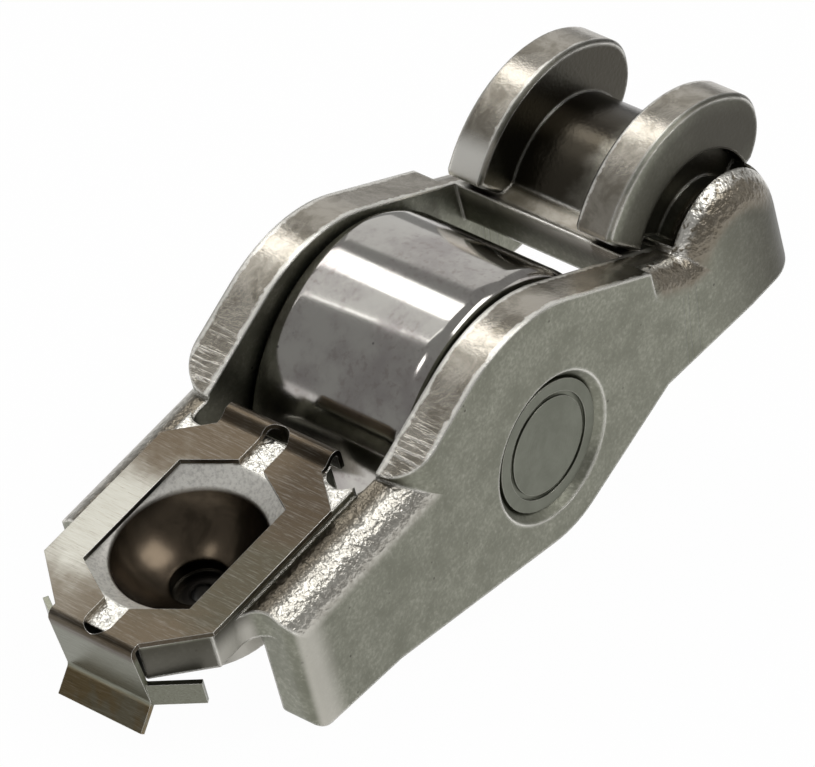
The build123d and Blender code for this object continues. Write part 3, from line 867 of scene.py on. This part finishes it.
@dataclass(frozen=True)
class RollerSteel:
    """Ground and polished roller: light grey, with faint grinding lines, violet clouds and a few pits."""

    base: Colour = (0.5, 0.485, 0.45)
    cloud: Colour = (0.37, 0.345, 0.33)
    stain: Colour = (0.3, 0.262, 0.245)
    pit: Colour = (0.1, 0.09, 0.09)
    clouded: Pair = (0.35, 0.7)
    stained: Pair = (0.5, 0.66)
    stained_clouds: Pair = (0.4, 0.55)
    stain_amount: float = 0.5
    pit_amount: float = 0.7
    roughness: Pair = (0.09, 0.15)
    clouds: Noise = Noise(0.35, 4.0, 0.6)
    spots: Noise = Noise(2.6, 4.0, 0.65)
    rings: Noise = Noise(2.0, 2.0, 0.6)
    ring_stretch: Triple = (0.12, 7.0, 0.12)
    ring_depth: float = 0.002
    ring_strength: float = 0.2

    def build(self, shared: Shared) -> bpy.types.Material:
        """Makes the material from the shared node groups."""
        steel = Finish("roller steel")
        pen = steel.pen
        clouds = pen.noise(steel.point, self.clouds)
        spots = pen.noise(steel.point, self.spots)
        clouded = pen.step(clouds, *self.clouded)
        colour = pen.mix(clouded, self.base, self.cloud)
        stains = pen.region((spots, self.stained), (clouds, self.stained_clouds))
        colour = pen.mix(pen.product(stains, self.stain_amount), colour, self.stain)
        grain = pen.group(shared.grain, Point=steel.point)
        colour = pen.mix(pen.product(grain.outputs["Specks"], self.pit_amount), colour, self.pit)
        rings = pen.noise(pen.stretch(steel.point, self.ring_stretch), self.rings)
        normal = pen.bump(rings, self.ring_depth, self.ring_strength)
        return steel.finish(colour, pen.scale(clouded, *self.roughness), normal)


@dataclass(frozen=True)
class ClipSteel:
    """Brushed spring sheet: grey side bars, the far one painted light and the near one painted dark, brown
    ends, a golden lip and bright sheared edges, partly painted highlight.

    Pairs are soft steps as in LeverRegions, those in x, y and z in millimetres.
    """

    light: Colour = (0.3, 0.292, 0.255)
    grey: Colour = (0.05, 0.044, 0.03)
    brown: Colour = (0.076, 0.059, 0.04)
    near_bar_shade: Colour = (0.035, 0.026, 0.017)
    green: Colour = (0.17, 0.172, 0.135)
    gold: Colour = (0.16, 0.12, 0.062)
    bright: Colour = (0.85, 0.83, 0.78)
    wander: Pair = (-2.5, 2.5)
    rear_x: Pair = (-17.0, -13.2)
    front_x: Pair = (-21.0, -23.5)
    front_amount: float = 0.85
    lit_bar_y: Pair = (-1.0, 3.0)
    near_bar_shade_y: Pair = (-0.5, -3.0)
    near_bar_shade_x: Pair = (-17.0, -13.5)
    near_bar_shade_amount: float = 0.75
    folded_z: Pair = (5.9, 5.5)
    lip_z: Pair = (2.55, 2.3)
    lip_x: Pair = (-24.6, -24.9)
    patch_clouds: Pair = (0.5, 0.62)
    patch_amount: float = 0.5
    clouds: Noise = Noise(0.4, 3.0, 0.6)
    brush: Noise = Noise(1.0, 3.0, 0.75)
    brush_stretch: Triple = (15.0, 0.8, 15.0)
    bright_brush: Pair = (0.48, 0.7)
    bright_amount: float = 0.07
    dark_brush: Pair = (0.52, 0.3)
    dark_amount: float = 0.3
    edge_radius: float = 0.045
    edge_highlight_amount: float = 0.9
    roughness: Pair = (0.24, 0.34)
    brush_depth: float = 0.006
    brush_strength: float = 0.5

    def build(self, shared: Shared) -> bpy.types.Material:
        """Makes the material from the shared node groups."""
        steel = Finish("clip steel")
        pen = steel.pen
        x, y, z = pen.split(steel.point)
        brushed = pen.noise(pen.stretch(steel.point, self.brush_stretch), self.brush)
        clouds = pen.noise(steel.point, self.clouds)
        drift = pen.math("ADD", x, pen.scale(clouds, *self.wander))
        front = pen.product(pen.step(drift, *self.front_x), self.front_amount)
        ends = pen.math("MAXIMUM", pen.step(drift, *self.rear_x), front)
        # The far bar is painted light and the near bar dark: painted light and shade on one side of the clip.
        bars = pen.mix(pen.step(y, *self.lit_bar_y), self.grey, self.light)
        colour = pen.mix(ends, bars, self.brown)
        # Painted shade on the near bar's rear half.
        near_bar_shade = pen.product(pen.region((y, self.near_bar_shade_y), (drift, self.near_bar_shade_x)), self.near_bar_shade_amount)
        colour = pen.mix(near_bar_shade, colour, self.near_bar_shade)
        colour = pen.mix(pen.step(z, *self.folded_z), colour, self.green)
        lip = pen.region((z, self.lip_z), (x, self.lip_x))
        colour = pen.mix(lip, colour, self.gold)
        patch = pen.product(lip, pen.step(clouds, *self.patch_clouds), self.patch_amount)
        colour = pen.mix(patch, colour, self.green)
        bright = pen.product(pen.step(brushed, *self.bright_brush), self.bright_amount)
        colour = pen.mix(bright, colour, self.bright)
        dark = pen.product(pen.step(brushed, *self.dark_brush), self.dark_amount)
        colour = pen.mix(dark, colour, self.brown)
        edge = pen.group(shared.edge, Radius=self.edge_radius * MM, Point=steel.point)
        # Bright sheared edges: partly worn steel, partly painted highlight.
        colour = pen.mix(pen.product(edge.outputs["Mask"], self.edge_highlight_amount), colour, self.bright)
        normal = pen.bump(brushed, self.brush_depth, self.brush_strength, edge.outputs["Normal"])
        return steel.finish(colour, pen.scale(brushed, *self.roughness), normal)


@dataclass(frozen=True)
class AxleSteel:
    """Ground axle ends, satin and greenish, with faint turned rings and bright edges, partly painted
    highlight.
    """

    name: str = "axle steel"
    base: Colour = (0.17, 0.176, 0.142)
    dark: Colour = (0.13, 0.135, 0.106)
    # Light colour of the edges: partly painted highlight.
    edge: Colour = (0.6, 0.58, 0.52)
    clouded: Pair = (0.3, 0.75)
    ring_scale: float = 5.0
    ring_detail: float = 3.0
    grain_height: float = 0.3
    edge_radius: float = 0.07
    edge_highlight_amount: float = 0.6
    relief_depth: float = 0.02
    relief_strength: float = 0.4
    roughness: float = 0.36

    def build(self, shared: Shared) -> bpy.types.Material:
        """Makes the material from the shared node groups."""
        steel = Finish(self.name)
        pen = steel.pen
        x, _, z = pen.split(steel.point)
        grain = pen.group(shared.grain, Point=steel.point)
        colour = pen.mix(pen.step(grain.outputs["Clouds"], *self.clouded), self.base, self.dark)
        turned = pen.node("ShaderNodeTexNoise", noise_dimensions="1D")
        pen.feed(turned.inputs["W"], pen.distance((x, z), (0.0, 0.0)))
        turned.inputs["Scale"].default_value = self.ring_scale
        turned.inputs["Detail"].default_value = self.ring_detail
        edge = pen.group(shared.edge, Radius=self.edge_radius * MM, Point=steel.point)
        # Bright edges of the axle's ends: partly painted highlight.
        colour = pen.mix(pen.product(edge.outputs["Mask"], self.edge_highlight_amount), colour, self.edge)
        grainy = pen.product(grain.outputs["Grain"], self.grain_height)
        relief = pen.math("ADD", turned.outputs["Fac"], grainy)
        normal = pen.bump(relief, self.relief_depth, self.relief_strength, edge.outputs["Normal"])
        return steel.finish(colour, self.roughness, normal)


def dress(node: bpy.types.Object, material: bpy.types.Material) -> None:
    """Gives an object this one material.

    Args:
        node: The object.
        material: Its material.
    """
    node.data.materials.clear()
    node.data.materials.append(material)


@dataclass
class Roller:
    """Polished roller, a thick ring with shallow tapers at its rims, at the size the photograph shows.

    Lengths are in millimetres. The ring stands off the middle by its shift, along the axle.
    """

    radius: float = 8.14
    bore: float = 5.14
    half_width: float = 4.9
    shift: float = 0.4
    taper: float = 0.65
    taper_drop: float = 0.24
    bore_chamfer: float = 0.3
    easing: float = 0.32
    inner_easing: float = 0.12
    arc_points: int = 7
    turns: int = 256
    finish: RollerSteel = field(default_factory=RollerSteel)

    def mesh(self) -> bpy.types.Object:
        """Ring: the cross-section with eased corners, turned about the axle in a full circle.

        Returns:
            The ring, round the lever frame's Y axis.
        """
        w, t, b = self.half_width, self.taper, self.bore_chamfer
        rim = self.radius - self.taper_drop
        corners = np.array([
            (-w, self.bore + b), (-w, rim), (-w + t, self.radius), (w - t, self.radius),
            (w, rim), (w, self.bore + b), (w - b, self.bore), (-w + b, self.bore)])
        small, large = self.inner_easing, self.easing
        cuts = np.array([small, large, large, large, large, small, small, small])
        section = rounded_outline(corners, cuts, self.arc_points)
        angle = np.linspace(0, 2 * pi, self.turns, endpoint=False)[:, None]
        along, out = section[None, :, 0], section[None, :, 1]
        grid = np.stack([out * np.cos(angle), along + self.shift + 0 * angle, out * np.sin(angle)], axis=-1)
        return surface("roller_ring", LEVER.to_row(grid), wrap_rows=True, wrap_columns=True)

    def place(self, shared: Shared) -> int:
        """Builds the ring in place of its solid.

        Args:
            shared: The shared node groups.

        Returns:
            The number of its faces.
        """
        ring = self.mesh()
        dress(ring, self.finish.build(shared))
        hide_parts("roller")
        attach(ring, Body.ROLLER.value)
        return len(ring.data.polygons)


@dataclass
class Lever:
    """Stamped lever with its clip, its axle and the needles on it, all kept as their solids."""

    steel: LeverSteel = field(default_factory=LeverSteel)
    clip: ClipSteel = field(default_factory=ClipSteel)
    axle: AxleSteel = field(default_factory=AxleSteel)
    needle: AxleSteel = AxleSteel("needle steel", (0.5, 0.5, 0.48))

    def slots(self) -> dict[str, Slot]:
        """Material slot of each solid that is kept.

        Returns:
            Slots by the name of the node.
        """
        slots = {"lever_body": Slot.LEVER, "retaining_clip": Slot.CLIP, "axle_pin": Slot.AXLE}
        slots.update({name: Slot.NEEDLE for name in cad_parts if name.startswith("needle_")})
        return slots

    def place(self, shared: Shared) -> int:
        """Dresses the solids.

        Args:
            shared: The shared node groups.

        Returns:
            The number of solids dressed.
        """
        finishes = {Slot.LEVER: self.steel.build(shared), Slot.CLIP: self.clip.build(shared),
                    Slot.AXLE: self.axle.build(shared), Slot.NEEDLE: self.needle.build(shared)}
        slots = self.slots()
        for name, slot in slots.items():
            dress(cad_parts[name], finishes[slot])
        return len(slots)


@dataclass(frozen=True)
class Lamp:
    """Rectangular soft lamp that looks at the part, with its lengths in metres."""

    name: str
    direction: Triple
    distance: float
    width: float
    height: float
    radiance: float

    def place(self, target: Vector) -> None:
        """Hangs the lamp at its distance along its direction from the target.

        Args:
            target: The point it looks at, in metres.
        """
        data = bpy.data.lights.new(self.name, "AREA")
        data.shape = "RECTANGLE"
        data.size, data.size_y = self.width, self.height
        data.energy = self.radiance * self.width * self.height * pi
        lamp = bpy.data.objects.new(self.name, data)
        bpy.context.scene.collection.objects.link(lamp)
        towards = Vector(self.direction).normalized()
        lamp.location = target + towards * self.distance
        lamp.rotation_euler = towards.to_track_quat("Z", "Y").to_euler()


@dataclass
class Studio:
    """Pale floor, soft lamps, grey surroundings and the camera of the photograph.

    Names ending in _mm are in millimetres, angles in degrees, and the floor's half in metres.
    """

    camera_mm: Triple = (-285.477, -228.858, 215.697)
    azimuth: float = -51.350
    elevation: float = 29.264
    roll: float = 3.0925
    lens: float = 372.0
    sensor: float = 36.0
    clip_range: Pair = (0.01, 20.0)
    floor_half: float = 4.0
    floor_grey: float = 0.9
    target_mm: Triple = (0.0, 0.0, 11.0)
    surroundings: float = 0.32
    glow: float = 0.98
    lamps: tuple[Lamp, ...] = (
        Lamp("overhead", (0.17, -0.48, 0.86), 0.9, 0.55, 0.5, 3.2),
        Lamp("back_band", (0.095, 0.55, 0.82), 0.9, 0.23, 0.6, 3.0),
        Lamp("back_glow", (-0.19, 0.55, 0.81), 0.92, 0.26, 0.6, 0.6),
        Lamp("back_right", (0.65, 0.545, 0.5), 0.95, 0.5, 0.6, 0.5),
        Lamp("back_line", (-0.35, 0.552, 0.757), 0.88, 0.014, 0.6, 3.4),
        Lamp("left_spot", (-0.62, 0.25, 0.74), 0.9, 0.14, 0.16, 4.5),
        Lamp("right_fill", (0.75, -0.45, 0.35), 0.9, 0.35, 0.35, 0.6),
    )

    def place_camera(self) -> None:
        """Sets the camera by its place and its three angles, as fitted to the photograph.

        Its back points from the part to the camera: azimuth turns it about the vertical and elevation
        lifts it. Right is level and square to it, up is square to both, and roll turns them about it.
        """
        a, e, r = radians(self.azimuth), radians(self.elevation), radians(self.roll)
        back = Vector((sin(a) * cos(e), -cos(a) * cos(e), sin(e)))
        level = Vector((cos(a), sin(a), 0.0))
        rise = back.cross(level)
        right, up = cos(r) * level + sin(r) * rise, cos(r) * rise - sin(r) * level
        data = bpy.data.cameras.new("photo_camera")
        data.lens, data.sensor_width = self.lens, self.sensor
        data.clip_start, data.clip_end = self.clip_range
        camera = bpy.data.objects.new("photo_camera", data)
        bpy.context.scene.collection.objects.link(camera)
        turn = Matrix((right, up, back)).transposed()
        camera.matrix_world = Matrix.Translation(Vector(self.camera_mm) * MM) @ turn.to_4x4()
        bpy.context.scene.camera = camera

    def place_floor(self) -> None:
        """White floor: shown nearly white to the camera and in reflections, with the shadow kept faint."""
        h = self.floor_half
        grid = np.array([[(-h, -h, 0.0), (h, -h, 0.0)], [(-h, h, 0.0), (h, h, 0.0)]])
        floor = surface("floor", grid)
        material = bpy.data.materials.new("white floor")
        material.use_nodes = True
        material.node_tree.nodes.clear()
        pen = Graph(material.node_tree)
        diffuse = pen.node("ShaderNodeBsdfDiffuse")
        pen.feed(diffuse.inputs["Color"], (self.floor_grey,) * 3)
        glow = pen.node("ShaderNodeEmission")
        pen.feed(glow.inputs["Color"], (1.0, 1.0, 1.0))
        path = pen.node("ShaderNodeLightPath")
        mirrored = pen.math("MAXIMUM", path.outputs["Is Glossy Ray"], path.outputs["Is Transmission Ray"])
        seen = pen.math("MAXIMUM", path.outputs["Is Camera Ray"], mirrored)
        blend = pen.node("ShaderNodeMixShader")
        pen.feed(blend.inputs[0], pen.math("MULTIPLY", seen, self.glow))
        pen.feed(blend.inputs[1], diffuse.outputs[0])
        pen.feed(blend.inputs[2], glow.outputs[0])
        ending = pen.node("ShaderNodeOutputMaterial")
        pen.feed(ending.inputs["Surface"], blend.outputs[0])
        dress(floor, material)

    def place_light(self) -> None:
        """Grey surroundings and the lamps."""
        world = bpy.data.worlds.new("surroundings")
        world.use_nodes = True
        background = world.node_tree.nodes["Background"]
        background.inputs["Color"].default_value = (*(self.surroundings,) * 3, 1.0)
        bpy.context.scene.world = world
        for lamp in self.lamps:
            lamp.place(Vector(self.target_mm) * MM)

    def place(self) -> int:
        """Sets the floor, the light, the camera and the plain view.

        Returns:
            The number of lamps.
        """
        self.place_floor()
        self.place_light()
        self.place_camera()
        bpy.context.scene.view_settings.view_transform = "Standard"
        return len(self.lamps)


def main() -> None:
    """Builds the looks piece by piece."""
    logging.basicConfig(level=logging.INFO, format="%(name)s: %(message)s")
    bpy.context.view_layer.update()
    shared = Shared()
    log.info("lever: %d solids dressed", Lever().place(shared))
    log.info("roller: %d faces", Roller().place(shared))
    log.info("studio: %d lamps", Studio().place())


if __name__ == "__main__":
    main()
